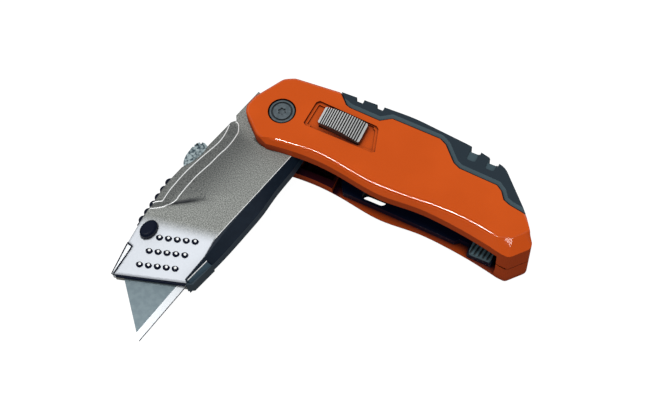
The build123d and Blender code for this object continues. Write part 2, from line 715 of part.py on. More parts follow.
with BuildPart() as front_shoe:
    with BuildSketch(head_level(MID - SHOE_HALF)):
        with BuildLine():
            Polyline((-62.0, -14.2), (-51.7, -13.4), (-51.6, -16.0), (-60.4, -15.8), close=True)
        make_face()
    extrude(amount=2 * SHOE_HALF)
save(front_shoe, "front_shoe")

with BuildPart() as head_body:
    with BuildSketch(head_level(MID)):
        with BuildLine():
            bar_outline(1.0)
        make_face()
    extrude(amount=WALL_HALF)
    with BuildSketch(head_level(MID + WALL_HALF)):
        with BuildLine():
            bar_outline(1.0)
        make_face()
    with BuildSketch(head_level(HEAD_TOP)):
        with BuildLine():
            bar_outline(0.12)
        make_face()
    loft(ruled=True)
    mirror(about=at_level(MID))
    # web between the covers, round the pivot
    with BuildSketch(head_level(MID - BLADE_GAP)):
        with BuildLine():
            Polyline(*COVER_REAR[1:], *WEB_FRONT, close=True)
        make_face()
        with BuildLine():
            Polyline(*WEB_LIP, close=True)
        make_face()
    extrude(amount=2 * BLADE_GAP)
    # room for the blade's whole travel
    with BuildSketch(blade_level(MID - BLADE_GAP)):
        with BuildLine():
            rear = BLADE_LONG + TRAVEL + 0.4
            back = BLADE_WIDE + 0.4
            Polyline((-0.5, -0.4), (rear, -0.4), (rear - BLADE_END, back), (BLADE_END, back), close=True)
        make_face()
        carrier_room()
    extrude(amount=2 * BLADE_GAP, mode=Mode.SUBTRACT)
    add(front_shoe.part, mode=Mode.SUBTRACT)
    with BuildSketch(head_level(0)):
        Circle(BUSHING)
    extrude(amount=OPEN, mode=Mode.SUBTRACT)
    with BuildSketch(head_level(0)):
        with BuildLine():
            slider_slot()
        make_face()
    extrude(amount=OPEN, mode=Mode.SUBTRACT)
save(head_body, "head_body")

with BuildPart() as pivot_bushing:
    with BuildSketch(head_level(MID - HEAD_HALF)):
        Circle(BUSHING)
        Circle(PIVOT_SHANK + FIT, mode=Mode.SUBTRACT)
    extrude(amount=2 * HEAD_HALF)
save(pivot_bushing, "pivot_bushing")

RIB_FROM = (-38.6, 14.2)
RIB_TO = (-56.6, 11.0)
RIBS = 6

with BuildPart() as thumb_rest:
    with BuildSketch(head_level(MID - THUMB_HALF)):
        with BuildLine():
            Polyline(*THUMB_BLOCK, close=True)
        make_face()
        for i in range(RIBS):
            rib = Vector(*RIB_FROM) + (Vector(*RIB_TO) - Vector(*RIB_FROM)) * ((i + 0.35) / RIBS)
            with Locations(rib):
                Circle(1.55)
    extrude(amount=2 * THUMB_HALF)
save(thumb_rest, "thumb_rest")

GUIDE_TONGUE = [(-73.2, 5.6), (-62.0, 6.2), (-62.0, 9.3), (-63.8, 9.4), (-63.8, 7.6), (-73.6, 6.3)]
GUIDE_LOWER = 0.7  # how far the guide lies under the nose facet

with BuildPart() as nose_guide:
    with BuildSketch(head_level(MID)):
        with BuildLine():
            Polyline((-63.8, 7.6), (-63.8, 9.5), (-73.9, 6.9), (-73.6, 6.3), close=True)
        make_face()
    extrude(amount=HEAD_HALF)
    with BuildSketch(facet):
        with BuildLine():
            facet_cut(GUIDE_LOWER)
        make_face()
    extrude(amount=OPEN, both=True, mode=Mode.SUBTRACT)
    mirror(about=at_level(MID))
    # tongue between the covers, ahead of the blade's back
    with BuildSketch(head_level(MID - BLADE_GAP)):
        with BuildLine():
            Polyline(*GUIDE_TONGUE, close=True)
        make_face()
    extrude(amount=2 * BLADE_GAP)
save(nose_guide, "nose_guide")

# ---------------------------------------------------------------- blade, carrier and slider

BLADE_NOTCHES = [(BLADE_LONG / 2 + d, BLADE_WIDE - 1.6) for d in (-3.5, 3.5)]

with BuildPart() as blade:
    with BuildSketch(blade_level(MID - BLADE_THICK / 2)):
        with BuildLine():
            rear = BLADE_LONG - BLADE_END
            Polyline((0, 0), (BLADE_LONG, 0), (rear, BLADE_WIDE), (BLADE_END, BLADE_WIDE), close=True)
        make_face()
        with Locations(*BLADE_NOTCHES):
            Rectangle(2.6, 3.2, mode=Mode.SUBTRACT)
    extrude(amount=BLADE_THICK)
    # ground bevels along the edge
    rim = blade_level(MID)
    across = Plane(origin=rim.origin, x_dir=rim.y_dir, z_dir=rim.x_dir)
    for side in (1, -1):
        with BuildSketch(across):
            with BuildLine():
                edge = side * EDGE_HALF
                flat = side * BLADE_THICK / 2
                Polyline((-1, edge), (0, edge), (GROUND, flat), (GROUND, side), (-1, side), close=True)
            make_face()
        extrude(amount=BLADE_LONG, mode=Mode.SUBTRACT)
save(blade, "blade")

with BuildPart() as blade_carrier:
    with BuildSketch(blade_level(MID + BLADE_THICK / 2 + 0.02)):
        with Locations(((CARRIER[0] + CARRIER[1]) / 2, (CARRIER[2] + CARRIER[3]) / 2)):
            Rectangle(CARRIER[1] - CARRIER[0], CARRIER[3] - CARRIER[2])
        with Locations(((NECK[0] + NECK[1]) / 2, (NECK[2] + NECK[3]) / 2)):
            Rectangle(NECK[1] - NECK[0], NECK[3] - NECK[2])
    extrude(amount=CARRIER_TOP - MID - BLADE_THICK / 2 - 0.02)
    # lug in one of the blade's notches
    with BuildSketch(blade_level(MID - BLADE_THICK / 2)):
        with Locations(BLADE_NOTCHES[1]):
            Rectangle(2.3, 2.6)
    extrude(amount=1.0)
save(blade_carrier, "blade_carrier")

with BuildPart() as thumb_slider:
    # leaf-shaped pad, low at both ends
    with BuildSketch(head_level(MID - SLIDER_HALF)):
        with BuildLine():
            Spline((-33.2, 13.4), (-31.0, 16.0), (-27.2, 17.1), (-23.4, 16.9), (-22.0, 15.0))
            Polyline((-22.0, 15.0), (-22.4, 13.1), (-24.0, 11.6), (-31.4, 11.6), (-33.2, 13.4))
        make_face()
    extrude(amount=2 * SLIDER_HALF)
    add(blade_carrier.part, mode=Mode.SUBTRACT)
    for i in range(9):
        x = -32.0 + 1.15 * i
        with BuildSketch(head_level(MID - 4)):
            with Locations((x, 15.8 + 1.9 * sin(pi * (i + 1) / 9.5))):
                Circle(0.35)
        extrude(amount=8, mode=Mode.SUBTRACT)
save(thumb_slider, "thumb_slider")

# ---------------------------------------------------------------- release button

BUTTON_LOW = 13.9
BUTTON_TOP = HEAD_TOP + 1.6

with BuildPart() as release_button:
    with BuildSketch(head_level(BUTTON_LOW)):
        with Locations(BUTTON_AT):
            Ellipse(BUTTON_SIZE[0] / 2, BUTTON_SIZE[1] / 2)
    extrude(amount=BUTTON_TOP - BUTTON_LOW)
    fillet(release_button.faces().sort_by(Axis.Z)[-1].edges(), 0.9)
save(release_button, "release_button")

spring_foot = head_level(SPRING_FLOOR).from_local_coords(Vector(*SPRING_AT))
release_spring = coil_spring(spring_foot, (0, 0, 1), 1.2, BUTTON_LOW - SPRING_FLOOR, 5, 0.35)
save(release_spring, "release_spring")
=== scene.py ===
"""Materials, light and camera for the folding utility knife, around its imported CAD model."""

import json
import math

import bmesh
import bpy
import numpy as np
from mathutils import Matrix, Vector
from mathutils.geometry import delaunay_2d_cdt


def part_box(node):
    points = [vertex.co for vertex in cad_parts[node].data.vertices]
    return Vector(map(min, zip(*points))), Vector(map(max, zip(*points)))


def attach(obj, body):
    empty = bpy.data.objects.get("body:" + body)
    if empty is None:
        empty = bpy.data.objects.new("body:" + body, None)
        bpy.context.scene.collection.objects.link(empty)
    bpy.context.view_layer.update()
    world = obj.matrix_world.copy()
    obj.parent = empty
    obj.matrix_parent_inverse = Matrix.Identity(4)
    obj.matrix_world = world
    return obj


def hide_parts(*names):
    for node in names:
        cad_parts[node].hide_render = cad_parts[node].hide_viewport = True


MM = 0.001

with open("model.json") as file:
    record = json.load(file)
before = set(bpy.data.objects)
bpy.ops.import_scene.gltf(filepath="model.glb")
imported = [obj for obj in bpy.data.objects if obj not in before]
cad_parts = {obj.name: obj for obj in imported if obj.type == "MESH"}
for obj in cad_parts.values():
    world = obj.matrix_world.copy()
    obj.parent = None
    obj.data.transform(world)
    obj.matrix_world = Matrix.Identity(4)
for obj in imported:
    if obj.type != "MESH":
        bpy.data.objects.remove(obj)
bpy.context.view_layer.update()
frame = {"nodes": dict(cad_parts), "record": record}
nodes = frame["nodes"]


# ---------------------------------------------------------------- materials


def linear(red, green, blue):
    """Linear colour of an sRGB colour given from 0 to 255."""
    channels = []
    for value in (red, green, blue):
        channels.append(((value / 255 + 0.055) / 1.055) ** 2.4 if value > 10 else value / 255 / 12.92)
    return (*channels, 1.0)


def principled(name, colour, roughness, metallic=0.0):
    """A new material of one colour, and its node tree and shader."""
    material = bpy.data.materials.new(name)
    material.use_nodes = True
    tree = material.node_tree
    shader = tree.nodes["Principled BSDF"]
    shader.inputs["Base Color"].default_value = colour
    shader.inputs["Roughness"].default_value = roughness
    shader.inputs["Metallic"].default_value = metallic
    return material, tree, shader


def ramp(tree, fac, stops):
    """A colour ramp over a value, with stops of (position, colour)."""
    node = tree.nodes.new("ShaderNodeValToRGB")
    elements = node.color_ramp.elements
    while len(elements) < len(stops):
        elements.new(1.0)
    for element, (position, colour) in zip(elements, stops):
        element.position = position
        element.color = colour
    tree.links.new(fac, node.inputs["Fac"])
    return node.outputs["Color"]


def noise(tree, scale):
    """A noise over the piece's own coordinates, with its grain about 1/scale metres."""
    place = tree.nodes.new("ShaderNodeTexCoord")
    texture = tree.nodes.new("ShaderNodeTexNoise")
    texture.inputs["Scale"].default_value = scale
    texture.inputs["Detail"].default_value = 2.0
    tree.links.new(place.outputs["Object"], texture.inputs["Vector"])
    return texture.outputs["Fac"]


def speckle(tree, shader, scale, dark, light, low=0.4, high=0.6):
    """Varies the shader's colour between dark and light with a fine noise."""
    colour = ramp(tree, noise(tree, scale), [(low, dark), (high, light)])
    tree.links.new(colour, shader.inputs["Base Color"])


def grain(tree, shader, scale, height, strength):
    """Fine surface relief, height metres deep."""
    bump = tree.nodes.new("ShaderNodeBump")
    bump.inputs["Strength"].default_value = strength
    bump.inputs["Distance"].default_value = height
    tree.links.new(noise(tree, scale), bump.inputs["Height"])
    tree.links.new(bump.outputs["Normal"], shader.inputs["Normal"])


def recolour(tree, shader, fac, colour):
    """Turns the shader's colour towards another one, as far as fac says."""
    blend = tree.nodes.new("ShaderNodeMix")
    blend.data_type = "RGBA"
    base = shader.inputs["Base Color"]
    if base.is_linked:
        tree.links.new(base.links[0].from_socket, blend.inputs["A"])
    else:
        blend.inputs["A"].default_value = base.default_value
    blend.inputs["B"].default_value = colour
    tree.links.new(fac, blend.inputs["Factor"])
    tree.links.new(blend.outputs["Result"], base)


def steepness(tree, stops):
    """A value by how level the surface lies: stops run over the upward part of its normal."""
    facing = tree.nodes.new("ShaderNodeNewGeometry")
    split = tree.nodes.new("ShaderNodeSeparateXYZ")
    size = tree.nodes.new("ShaderNodeMath")
    size.operation = "ABSOLUTE"
    tree.links.new(facing.outputs["Normal"], split.inputs["Vector"])
    tree.links.new(split.outputs["Z"], size.inputs[0])
    return ramp(tree, size.outputs["Value"], [(p, (v, v, v, 1)) for p, v in stops])


def hollow(tree, distance, stops):
    """A value by how open the surface is to its surroundings within a distance."""
    open_to = tree.nodes.new("ShaderNodeAmbientOcclusion")
    open_to.inputs["Distance"].default_value = distance
    open_to.samples = 8
    return ramp(tree, open_to.outputs["AO"], [(p, (v, v, v, 1)) for p, v in stops])


def between(tree, value, limits, results):
    """A value mapped from between two limits to between two results, and held beyond them."""
    node = tree.nodes.new("ShaderNodeMapRange")
    for socket, number in zip(("From Min", "From Max", "To Min", "To Max"), (*limits, *results)):
        node.inputs[socket].default_value = number
    tree.links.new(value, node.inputs["Value"])
    return node.outputs["Result"]


def product(tree, first, second):
    node = tree.nodes.new("ShaderNodeMath")
    node.operation = "MULTIPLY"
    tree.links.new(first, node.inputs[0])
    tree.links.new(second, node.inputs[1])
    return node.outputs["Value"]


def cavity_floor_shade(tree):
    """A mask for painted shade on the faces that look up inside the far shell, under the near shell,
    strongest round its front pocket.
    """
    facing = tree.nodes.new("ShaderNodeNewGeometry")
    level = tree.nodes.new("ShaderNodeSeparateXYZ")
    tree.links.new(facing.outputs["Normal"], level.inputs["Vector"])
    place = tree.nodes.new("ShaderNodeTexCoord")
    point = tree.nodes.new("ShaderNodeSeparateXYZ")
    tree.links.new(place.outputs["Object"], point.inputs["Vector"])
    up = between(tree, level.outputs["Z"], (0.3, 0.6), (0, 1))
    low = between(tree, point.outputs["Z"], (0.0095, 0.008), (0, 1))
    front = between(tree, point.outputs["X"], (0.0235, 0.0265), (0.97, 0.45))
    return product(tree, product(tree, up, low), front)


def orange_paint():
    """The shells' paint, with painted shade: darker red on steep faces, near-black in hollows and on the
    faces inside the far shell.
    """
    material, tree, shader = principled("orange_paint", linear(203, 82, 22), 0.45)
    shader.inputs["Specular IOR Level"].default_value = 0.0
    speckle(tree, shader, 60, linear(200, 80, 20), linear(205, 83, 22))
    # painted shade: steep faces turned a darker red, as the overhead light leaves them
    slope_shade = steepness(tree, [(0.1, 0.45), (0.6, 0.15), (0.945, 0.15), (0.965, 0.0)])
    recolour(tree, shader, slope_shade, linear(120, 42, 34))
    # painted shade: near-black in hollows and narrow creases, by how enclosed the surface is
    recolour(tree, shader, hollow(tree, 0.012, [(0.15, 1.0), (0.45, 0.8), (0.7, 0.0)]), linear(14, 6, 18))
    recolour(tree, shader, hollow(tree, 0.0015, [(0.2, 1.0), (0.55, 0.0)]), linear(14, 6, 18))
    # painted shade: near-black on the up-facing faces inside the far shell, under the near shell
    recolour(tree, shader, cavity_floor_shade(tree), linear(14, 4, 20))
    # the clear coat is thick on the rounded crest, and thin elsewhere
    polish = steepness(tree, [(0.0, 0.05), (0.95, 0.05), (0.965, 1.0), (0.99, 1.0), (0.998, 0.2)])
    tree.links.new(polish, shader.inputs["Coat Weight"])
    shader.inputs["Coat IOR"].default_value = 2.0
    shader.inputs["Coat Roughness"].default_value = 0.06
    return material


def grip_rubber():
    material, tree, shader = principled("grip_rubber", linear(24, 40, 50), 0.6)
    shader.inputs["Specular IOR Level"].default_value = 0.25
    # painted highlight: the grip's bevels turned lighter than its level and upright faces
    level = [(0.0, 0.0), (0.3, 0.0), (0.6, 1.0), (0.93, 1.0), (0.99, 0.0)]
    recolour(tree, shader, steepness(tree, level), linear(60, 78, 85))
    # painted shade: near-black in the grip's narrow hollows
    recolour(tree, shader, hollow(tree, 0.0015, [(0.3, 1.0), (0.7, 0.0)]), linear(6, 8, 14))
    grain(tree, shader, 6000, 0.00002, 0.3)
    return material


def pad_rubber():
    material, tree, shader = principled("pad_rubber", linear(56, 76, 84), 0.6)
    shader.inputs["Specular IOR Level"].default_value = 0.25
    grain(tree, shader, 6000, 0.00002, 0.3)
    return material


def dark_steel():
    material, tree, shader = principled("dark_steel", linear(58, 66, 70), 0.35, metallic=0.6)
    speckle(tree, shader, 900, linear(88, 99, 104), linear(102, 113, 118))
    # painted shade: near-black in the steel's small recesses
    recolour(tree, shader, hollow(tree, 0.0012, [(0.55, 1.0), (0.9, 0.0)]), linear(14, 18, 22))
    return material


def bright_steel():
    material, tree, shader = principled("bright_steel", linear(165, 172, 174), 0.35, metallic=0.9)
    speckle(tree, shader, 700, linear(158, 165, 168), linear(172, 180, 182))
    return material


def mesh_value(tree, name):
    """A value that the mesh itself holds at each point."""
    attribute = tree.nodes.new("ShaderNodeAttribute")
    attribute.attribute_name = name
    return attribute.outputs["Fac"]


def cast_silver():
    material, tree, shader = principled("cast_silver", linear(143, 144, 138), 0.5, metallic=0.35)
    speckle(tree, shader, 2600, linear(112, 112, 106), linear(176, 176, 168), 0.35, 0.65)
    grain(tree, shader, 2600, 0.00004, 0.6)
    return material


def toned_silver():
    """The near cover's finish: cast silver, with a painted highlight that turns the nose facet near-white
    and painted shade that darkens its hollows.
    """
    material, tree, shader = principled("toned_silver", linear(143, 144, 138), 0.45, metallic=0.25)
    shader.inputs["Specular IOR Level"].default_value = 0.3
    speckle(tree, shader, 3100, linear(76, 79, 77), linear(172, 175, 169), 0.3, 0.7)
    # painted highlight: the nose facet turned near-white
    recolour(tree, shader, mesh_value(tree, "facet_highlight"), linear(198, 203, 209))
    # painted shade: the strip, the hollow under the lower ridge and the crease line turned near-black
    recolour(tree, shader, mesh_value(tree, "shade"), linear(8, 14, 22))
    grain(tree, shader, 4200, 0.00003, 0.5)
    return material


# Near-white, for painted highlights along thin edges and ridges, and for the studs' bare-metal tops with
# their painted highlight
def bright_edge():
    material, tree, shader = principled("bright_edge", linear(240, 242, 240), 0.3, metallic=0.2)
    grain(tree, shader, 4000, 0.00001, 0.2)
    return material


def dark_body():
    material, tree, shader = principled("dark_body", linear(28, 40, 50), 0.45)
    shader.inputs["Specular IOR Level"].default_value = 0.25
    speckle(tree, shader, 500, linear(8, 24, 38), linear(12, 28, 42))
    # painted light: the upright sides turned lighter than the level faces
    recolour(tree, shader, steepness(tree, [(0.1, 1.0), (0.25, 0.0)]), linear(34, 52, 66))
    return material


def black_plastic():
    material, tree, shader = principled("black_plastic", linear(3, 12, 32), 0.4)
    shader.inputs["Specular IOR Level"].default_value = 0.1
    grain(tree, shader, 5000, 0.00001, 0.3)
    return material


def guide_metal():
    """The nose guide: steel, painted near-white for the light it reflects, let in under the nose facet."""
    material, tree, shader = principled("guide_metal", linear(214, 219, 222), 0.35, metallic=0.2)
    grain(tree, shader, 3000, 0.00002, 0.3)
    return material


def tab_plastic():
    """The tray's thumb tab, grey on its ribs, with painted shade between them."""
    material, tree, shader = principled("tab_plastic", linear(74, 100, 108), 0.5)
    # painted shade: near-black between the ribs
    recolour(tree, shader, hollow(tree, 0.0012, [(0.5, 1.0), (0.9, 0.0)]), linear(8, 14, 20))
    grain(tree, shader, 5000, 0.00001, 0.3)
    return material


def shoe_plastic(name, colour):
    """The front shoe's plastic, a little lighter than the body."""
    material, tree, shader = principled(name, colour, 0.45)
    shader.inputs["Specular IOR Level"].default_value = 0.3
    grain(tree, shader, 3000, 0.00002, 0.3)
    return material


def washer_plastic():
    material, tree, shader = principled("washer_plastic", linear(215, 215, 208), 0.5)
    grain(tree, shader, 5000, 0.00001, 0.3)
    return material


def blade_steel():
    material, tree, shader = principled("blade_steel", linear(125, 138, 143), 0.35, metallic=0.5)
    shader.inputs["Specular IOR Level"].default_value = 0.3
    speckle(tree, shader, 500, linear(108, 123, 129), linear(116, 131, 136))
    ground = steepness(tree, [(0.0, 0.0), (0.985, 0.0), (0.99, 1.0), (0.9955, 1.0), (0.999, 0.0)])
    recolour(tree, shader, ground, linear(206, 210, 213))
    return material


def slider_metal():
    material, tree, shader = principled("slider_metal", linear(143, 160, 165), 0.35, metallic=0.6)
    speckle(tree, shader, 1100, linear(62, 80, 88), linear(172, 188, 190))
    return material


def slide_grey():
    material, tree, shader = principled("slide_grey", linear(200, 202, 200), 0.3, metallic=0.4)
    # painted reflection: steep sides turned a dark red, as if mirroring the orange shell
    recolour(tree, shader, steepness(tree, [(0.3, 1.0), (0.6, 0.0)]), linear(84, 62, 54))
    # painted shade: near-black in the grooves between the ribs
    recolour(tree, shader, hollow(tree, 0.0008, [(0.6, 1.0), (0.97, 0.0)]), linear(26, 22, 20))
    grain(tree, shader, 5000, 0.00001, 0.3)
    return material


FINISHES = {
    "toned_silver": toned_silver(),
    "bright_edge": bright_edge(),
    "orange_paint": orange_paint(),
    "grip_rubber": grip_rubber(),
    "pad_rubber": pad_rubber(),
    "dark_steel": dark_steel(),
    "washer_plastic": washer_plastic(),
    "spring_steel": bright_steel(),
    "cast_silver": cast_silver(),
    "dark_body": dark_body(),
    "black_plastic": black_plastic(),
    "blade_steel": blade_steel(),
    "slider_metal": slider_metal(),
    "slide_grey": slide_grey(),
    "guide_metal": guide_metal(),
    "tab_plastic": tab_plastic(),
    "shoe_plastic": shoe_plastic("shoe_plastic", linear(34, 52, 63)),
    # the cheek's plastic is a lighter copy of the shoe's, painted light for the upward slope it stands on
    "cheek_plastic": shoe_plastic("cheek_plastic", linear(56, 78, 90)),
}


def paint(obj, material):
    obj.data.materials.clear()
    obj.data.materials.append(material)


for part in frame["record"]["subparts"]:
    paint(nodes[part["node"]], FINISHES[part["material_slot"]])
OWN_FINISHES = {"nose_guide": "guide_metal", "tray_tab": "tab_plastic", "front_shoe": "shoe_plastic"}
for name, finish in OWN_FINISHES.items():
    paint(nodes[name], FINISHES[finish])


# ---------------------------------------------------------------- near cover

# Outlines and places on the head are in its own axes, in millimetres: X rearward, Y towards the spine
# and the pivot at (0, 0).
FOLD = math.radians(75)  # how far the head is folded from straight, at rest
HEAD = Matrix.Rotation(FOLD, 4, "Z") @ Matrix.Scale(MM, 4)  # head's axes, in millimetres, to the frame
HEAD_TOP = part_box("pivot_bushing")[1].z / MM
COVER_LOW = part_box("near_cover")[0].z / MM
EDGE = 0.45  # rounding of the cover's rim
PITCH = 0.3  # of the cover's mesh
NOSE_SLOPE = 2.9 / 17
BEND = ((-53.4, 6.2), (-45.3, -10.9))  # where the nose facet starts
BEND_SOFT = 2.0  # how gently it starts
COVER = [(2.9, 13.7), (-8.4, 13.4), (-9.8, 12.0), (-11.2, 13.3), (-22.0, 13.2), (-25.5, 12.6)]
COVER += [(-29.5, 13.1), (-33.4, 14.4), (-38.4, 14.3), (-43.2, 13.9), (-48.9, 12.5), (-56.9, 10.8)]
COVER += [(-63.5, 9.5), (-63.5, 7.4), (-73.7, 6.1), (-61.4, -13.9), (-51.9, -13.3), (-45.3, -11.8)]
COVER += [(-39.3, -11.6), (-9.1, -10.9), (-3.0, -10.5), (4.5, -9.2), (9.0, -3.0), (9.0, 3.0)]
COVER += [(6.0, 7.6), (2.9, 10.2)]
UPPER_RIDGE = [(-46.3, 10.6), (-41.8, 11.5), (-34.8, 12.0), (-30.3, 11.9), (-25.8, 11.6), (-19.9, 11.1)]
UPPER_RIDGE += [(-17.1, 11.3), (-14.4, 12.0), (-12.4, 12.8)]
UPPER_START = [(-48.8, 12.5), (-47.9, 12.1), (-46.3, 10.6)]
LOWER_RIDGE = [(-50.9, 11.5), (-49.2, 9.8), (-47.6, 8.6), (-46.0, 8.1), (-43.5, 7.4), (-41.6, 7.6)]
LOWER_RIDGE += [(-37.7, 7.9), (-32.5, 8.0), (-27.2, 7.6), (-22.8, 7.6), (-19.4, 7.4), (-16.3, 7.6)]
LOWER_RIDGE += [(-13.8, 8.1), (-12.6, 8.5), (-10.6, 10.2), (-10.3, 11.7)]
STRIP_DROP = 0.7  # of the strip between the ridges
CREASE = ((-46.3, 8.1), (-36.6, -0.6))
CREASE_DROP = 0.8
DARK_BELLY, DARK_NOSE = -9.0, -60.0  # the cover's side is dark below and in front of these
BUSHING_BORE = ((0, 0), (4.5, 4.5))  # middle and half axes
BUTTON_WELL = ((-56.4, 6.6), (3.35, 2.4))
BLADE_TIP = (-84.4, -14.9)
BLADE_TILT = math.radians(3.3)
BLADE_LONG = 61
CARRIER_ROOMS = ((32.8, 81, 14.6, 19), (54, 81, 18, 25))  # from and to, along and then across the blade
CARRIER_CEILING = 13.5
THUMB_SEAT = (-57.2, -37.2, 9.4, 20)
THUMB_CEILING = 15.05
SLIDER_ROOM = (-34.4, 1.4, 9.4, 20)
SLIDER_CEILING = 15.6
LOCK_GROOVE = (7.4, 11.5, 2.6)  # inner and outer radius, and how far it reaches towards the spine
LOCK_NOTCHES = (5.6, 8.1, 4.5)  # inner and outer radius, and width
NOTCH_FOLDS = (0, FOLD, math.radians(165))
GROOVE_FLOOR = 14.0


def smooth(points, steps=8):
    """Points along a curve through the given ones (Catmull-Rom)."""
    p = [np.array(q, float) for q in points]
    p = [2 * p[0] - p[1]] + p + [2 * p[-1] - p[-2]]
    out = []
    for a, b, c, d in zip(p, p[1:], p[2:], p[3:]):
        for i in range(steps):
            t = i / steps
            square = 2 * a - 5 * b + 4 * c - d
            cube = 3 * b - a - 3 * c + d
            out.append(0.5 * (2 * b + (c - a) * t + square * t**2 + cube * t**3))
    out.append(p[-2])
    return np.array(out)


def distance_to(points, x, y):
    """Distance from each (x, y) to the line through points."""
    best = np.full(x.shape, 1e9)
    for (ax, ay), (bx, by) in zip(points, points[1:]):
        dx, dy = bx - ax, by - ay
        t = np.clip(((x - ax) * dx + (y - ay) * dy) / (dx * dx + dy * dy), 0, 1)
        best = np.minimum(best, np.hypot(x - ax - t * dx, y - ay - t * dy))
    return best


def step(low, high, v):
    """From 0 at low to 1 at high, smoothly."""
    t = np.clip((v - low) / (high - low), 0, 1)
    return t * t * (3 - 2 * t)


def along(line, x, y):
    """How far each (x, y) is along a line of two points, and how far to its left."""
    (ax, ay), (bx, by) = line
    length = math.hypot(bx - ax, by - ay)
    ux, uy = (bx - ax) / length, (by - ay) / length
    return (x - ax) * ux + (y - ay) * uy, (y - ay) * ux - (x - ax) * uy


def cover_relief(x, y):
    """Height of the near cover over its flat, how near-white its painted highlight makes it and how dark
    its painted shade makes it.
    """
    past = -along(BEND, x, y)[1]
    height = -NOSE_SLOPE * (np.sqrt(past**2 + BEND_SOFT**2) + past) / 2
    # painted highlight: the nose facet turned near-white where it tilts towards the overhead light
    facet_highlight = 0.93 * step(-3.0, 2.5, past)
    # the strip between the ridges slopes down to the spine
    upper = np.interp(x, *np.array(UPPER_START[:2] + UPPER_RIDGE).T)
    lower = np.interp(x, *np.array(LOWER_RIDGE).T)
    across = np.clip((y - lower) / np.maximum(upper - lower, 0.3), 0, 1)
    strip = step(-51.5, -49.5, x) * (1 - step(-11.5, -10.0, x))
    height -= STRIP_DROP * across * strip
    # painted shade on the strip between the ridges, a little less above the upper ridge
    shade = np.where(across > 0, np.where(across < 1, 0.52, 0.42) * strip, 0)
    # the crease, sharp on the nose's side and easing out on the other
    run, side = along(CREASE, x, y)
    dent = step(-1.5, 1.0, run) * (1 - step(4, 15, run))
    dent *= step(-0.35, 0.35, side) * np.exp(-np.maximum(side, 0) / 4.5)
    height -= CREASE_DROP * dent * (1 - across * strip)
    # painted shade in the shallow hollow under the lower ridge, and a painted shadow line in the crease
    below = np.maximum(lower - y, 0)
    hollow_side = step(0, 1.5, side) * step(-47, -43, x) * (1 - step(-15, -9, x)) * (across <= 0)
    shade = np.maximum(shade, 0.58 * hollow_side * np.exp(-((below / 9.0) ** 2)))
    width = 1.0 + 0.05 * np.maximum(run, 0)
    line = step(-2.0, 0.0, run) * (1 - step(6, 17, run)) * np.exp(-(((side - 0.6) / width) ** 2))
    shade = np.maximum(shade, 0.98 * line * (across <= 0))
    return height, facet_highlight, shade


def divide(outline, pitch):
    """Points about a pitch apart along a closed outline."""
    points = []
    for (ax, ay), (bx, by) in zip(outline, outline[1:] + outline[:1]):
        count = max(1, round(math.hypot(bx - ax, by - ay) / pitch))
        points += [(ax + (bx - ax) * i / count, ay + (by - ay) * i / count) for i in range(count)]
    return points


def ellipse(middle, half_axes):
    """Points round an ellipse."""
    count = 64
    turns = [2 * math.pi * k / count for k in range(count)]
    return [(middle[0] + half_axes[0] * math.cos(t), middle[1] + half_axes[1] * math.sin(t)) for t in turns]


def grid_in(outline, holes, pitch):
    """Points and triangles of a fine mesh inside a closed outline, outside its elliptical holes."""
    loops = [divide(outline, pitch)] + [ellipse(*hole) for hole in holes]
    points = []
    edges = []
    for loop in loops:
        first = len(points)
        points += loop
        edges += [(first + i, first + (i + 1) % len(loop)) for i in range(len(loop))]
    xs, ys = zip(*outline)
    gx, gy = np.meshgrid(np.arange(min(xs), max(xs), pitch), np.arange(min(ys), max(ys), pitch))
    gx[::2] += pitch / 2
    gx, gy = gx.ravel(), gy.ravel()
    for loop in loops:
        far = distance_to(loop + [loop[0]], gx, gy) > 0.6 * pitch
        gx, gy = gx[far], gy[far]
    points = [Vector(p) for p in points + list(zip(gx, gy))]
    found, _, faces, _, _, _ = delaunay_2d_cdt(points, edges, [], 1, 1e-5)
    plan = np.array([tuple(v) for v in found])
    faces = np.array(faces)
    middles = plan[faces].mean(axis=1)
    for (cx, cy), (rx, ry) in holes:
        outside = ((middles[:, 0] - cx) / rx) ** 2 + ((middles[:, 1] - cy) / ry) ** 2 > 1
        faces, middles = faces[outside], middles[outside]
    used, faces = np.unique(faces, return_inverse=True)  # without the points outside the outline
    return plan[used], faces.reshape(-1, 3).tolist()


def rim_drop(distance, radius):
    """How far a rounded rim falls at a distance in from the outline."""
    d = np.clip(distance, 0, radius)
    return radius - np.sqrt(np.maximum(radius**2 - (radius - d) ** 2, 0))


def in_room(room, x, y):
    """Whether each (x, y) is in a rectangle, with a margin of about one step of the mesh."""
    x0, x1, y0, y1 = room
    margin = PITCH + 0.05
    return (x > x0 - margin) & (x < x1 + margin) & (y > y0 - margin) & (y < y1 + margin)


def cover_top(x, y):
    """Top of the cover, with the lock bolt's groove and notches round the hub."""
    z = HEAD_TOP + cover_relief(x, y)[0] - rim_drop(distance_to(COVER + [COVER[0]], x, y), EDGE)
    inner, outer, spineward = LOCK_GROOVE
    radius = np.hypot(x, y)
    cut = (radius > inner) & (radius < outer) & (y < spineward)
    inner, outer, width = LOCK_NOTCHES
    for folded in NOTCH_FOLDS:
        out = x * math.cos(folded) - y * math.sin(folded)
        across = x * math.sin(folded) + y * math.cos(folded)
        cut |= (out > inner) & (out < outer) & (np.abs(across) < width / 2)
    return np.where(cut, np.minimum(z, GROOVE_FLOOR), z)


def cover_bottom(x, y, top):
    """Underside of the cover, raised over the carrier, the thumb rest and the slider."""
    z = np.full(x.shape, COVER_LOW)
    tip = np.array(BLADE_TIP)
    beside = (tip, tip + (math.cos(BLADE_TILT), math.sin(BLADE_TILT)))
    out, across = along(beside, x, y)
    for room in CARRIER_ROOMS:
        z = np.where(in_room(room, out, across), CARRIER_CEILING, z)
    z = np.where(in_room(THUMB_SEAT, x, y), THUMB_CEILING, z)
    z = np.where(in_room(SLIDER_ROOM, x, y), SLIDER_CEILING, z)
    return np.minimum(z, top - 0.15)


